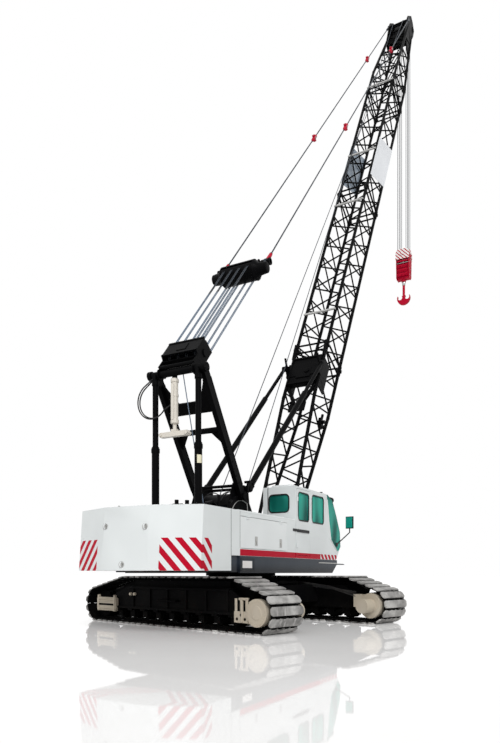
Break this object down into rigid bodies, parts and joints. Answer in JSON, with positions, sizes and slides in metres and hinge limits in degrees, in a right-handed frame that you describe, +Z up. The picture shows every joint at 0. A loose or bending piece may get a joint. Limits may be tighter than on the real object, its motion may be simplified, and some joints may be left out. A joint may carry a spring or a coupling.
{
  "type": "crawler crane",
  "caption": "Lattice boom crawler crane with a gantry, pendants and a hook block on a long tubular boom; off-white house and cab, red stripe, black boom and crawlers.",
  "frame": {"origin": "on the ground under the slewing axis", "axes": "+X along the heading of the upper works and the boom, +Y to the operator's left, +Z up; the crawler base stands turned by -15.4 degrees, its tracks roughly along Y"},
  "size_m": [18.7841, 7.5008, 25.531],
  "materials": {
    "white_paint": "gloss",
    "slate_paint": "satin",
    "black_paint": "gloss",
    "tan_paint": "satin",
    "red_paint": "gloss",
    "panel_white": "satin",
    "shoe_steel": "worn, dusty",
    "rope_steel": "stranded",
    "tinted_glass": "clear, tinted",
    "black_plastic": "matte"
  },
  "bodies": {
    "undercarriage": {"track_near": "shoe_steel", "track_far": "shoe_steel", "side_frames": "black_paint", "idlers_and_sprockets": "black_paint", "track_rollers": "black_paint", "final_drives": "tan_paint", "travel_motors": "black_paint", "take_up_blocks": "tan_paint", "carbody": "black_paint", "slew_ring_lower": "black_paint"},
    "upper": {"slew_ring_upper": "black_paint", "deck": "slate_paint", "counterweight": "white_paint", "house": "white_paint", "engine": "black_paint", "cab_shell": "white_paint", "cab_glass": "tinted_glass", "operator_seat": "black_plastic", "mirror": "black_plastic", "cab_lamp": "black_plastic", "winch_frames": "black_paint", "gantry_back_stays": "black_paint", "gantry_frame": "black_paint", "lift_cylinder": "white_paint"},
    "house_door_right": {"house_door_right": "white_paint"},
    "house_door_left": {"house_door_left": "white_paint"},
    "cab_door": {"cab_door": "white_paint", "door_glass": "tinted_glass"},
    "main_drum": {"main_drum": "black_paint"},
    "front_drum": {"front_drum": "black_paint"},
    "boom_hoist_drum": {"boom_hoist_drum": "black_paint"},
    "bail": {"gantry_bail": "black_paint"},
    "lift_yoke": {"lift_yoke": "white_paint"},
    "boom": {"boom_butt": "black_paint", "boom_insert_a": "black_paint", "boom_insert_b": "black_paint", "boom_tip": "black_paint", "head_sheaves": "black_paint", "boom_panels": "panel_white"},
    "backstop_tubes": {"backstop_tubes": "black_paint"},
    "backstop_rods": {"backstop_rods": "black_paint"},
    "pendants": {"pendants": "rope_steel", "bridle": "black_paint"},
    "load_line": {"load_line_front": "rope_steel"},
    "hook_block": {"hook_block": "red_paint", "load_line_rear": "rope_steel"},
    "hook": {"hook": "black_paint"}
  },
  "joints": [
    {"name": "slew", "type": "hinge", "parent": "undercarriage", "child": "upper", "pos_m": [0, 0, 0], "axis": [0, 0, 1], "continuous": true},
    {"name": "luff", "type": "hinge", "parent": "upper", "child": "boom", "pos_m": [1.48, 0, 1.7], "axis": [0, -1, 0], "range_deg": [-31.87, 18.13]},
    {"name": "pendant_swing", "type": "hinge", "parent": "boom", "child": "pendants", "pos_m": [13.42983, 0, 24.9639], "axis": [0, -1, 0], "range_deg": [-0.5, 0.5]},
    {"name": "bail_swing", "type": "hinge", "parent": "upper", "child": "bail", "pos_m": [-2.6, 0, 5.4], "axis": [0, -1, 0], "range_deg": [-31, 18]},
    {"name": "backstop_swing", "type": "hinge", "parent": "upper", "child": "backstop_tubes", "pos_m": [-0.67, 0, 3.13], "axis": [0, -1, 0], "range_deg": [-28, 16]},
    {"name": "backstop_stroke", "type": "slide", "parent": "backstop_tubes", "child": "backstop_rods", "axis": [0.7162, 0, 0.6979], "range_m": [-0.77, 1.35]},
    {"name": "load_line_swing", "type": "hinge", "parent": "boom", "child": "load_line", "pos_m": [14.22115, 0, 25.10781], "axis": [0, -1, 0], "range_deg": [-18.5, 32]},
    {"name": "hoist", "type": "slide", "parent": "load_line", "child": "hook_block", "axis": [0, 0, 1], "range_m": [-12.5, 5.6]},
    {"name": "hook_swivel", "type": "hinge", "parent": "hook_block", "child": "hook", "pos_m": [14.22115, 0, 13.37], "axis": [0, 0, 1], "continuous": true},
    {"name": "counterweight_lift", "type": "slide", "parent": "upper", "child": "lift_yoke", "axis": [0, 0, -1], "range_m": [0, 0.75]},
    {"name": "cab_door_hinge", "type": "hinge", "parent": "upper", "child": "cab_door", "pos_m": [0.085, -1.495, 2.395], "axis": [0, 0, -1], "range_deg": [0, 110]},
    {"name": "house_door_right_hinge", "type": "hinge", "parent": "upper", "child": "house_door_right", "pos_m": [-1.48, -1.495, 2.33], "axis": [-1, 0, 0], "range_deg": [0, 100]},
    {"name": "house_door_left_hinge", "type": "hinge", "parent": "upper", "child": "house_door_left", "pos_m": [-1.48, 1.495, 2.33], "axis": [1, 0, 0], "range_deg": [0, 100]},
    {"name": "boom_hoist_drum_turn", "type": "hinge", "parent": "upper", "child": "boom_hoist_drum", "pos_m": [-2.02, 0, 2.29], "axis": [0, 1, 0], "continuous": true},
    {"name": "main_drum_turn", "type": "hinge", "parent": "upper", "child": "main_drum", "pos_m": [-0.86, 0, 2.39], "axis": [0, 1, 0], "continuous": true},
    {"name": "front_drum_turn", "type": "hinge", "parent": "upper", "child": "front_drum", "pos_m": [0.33, 0, 2.06], "axis": [0, 1, 0], "continuous": true}
  ],
  "couplings": [
    {"joint": "pendant_swing", "follows": "luff", "ratio": 0.005},
    {"joint": "bail_swing", "follows": "luff", "ratio": 0.95},
    {"joint": "backstop_swing", "follows": "luff", "ratio": 0.865},
    {"joint": "backstop_stroke", "follows": "luff", "m_per_rad": -2.4},
    {"joint": "load_line_swing", "follows": "luff", "ratio": -1}
  ]
}
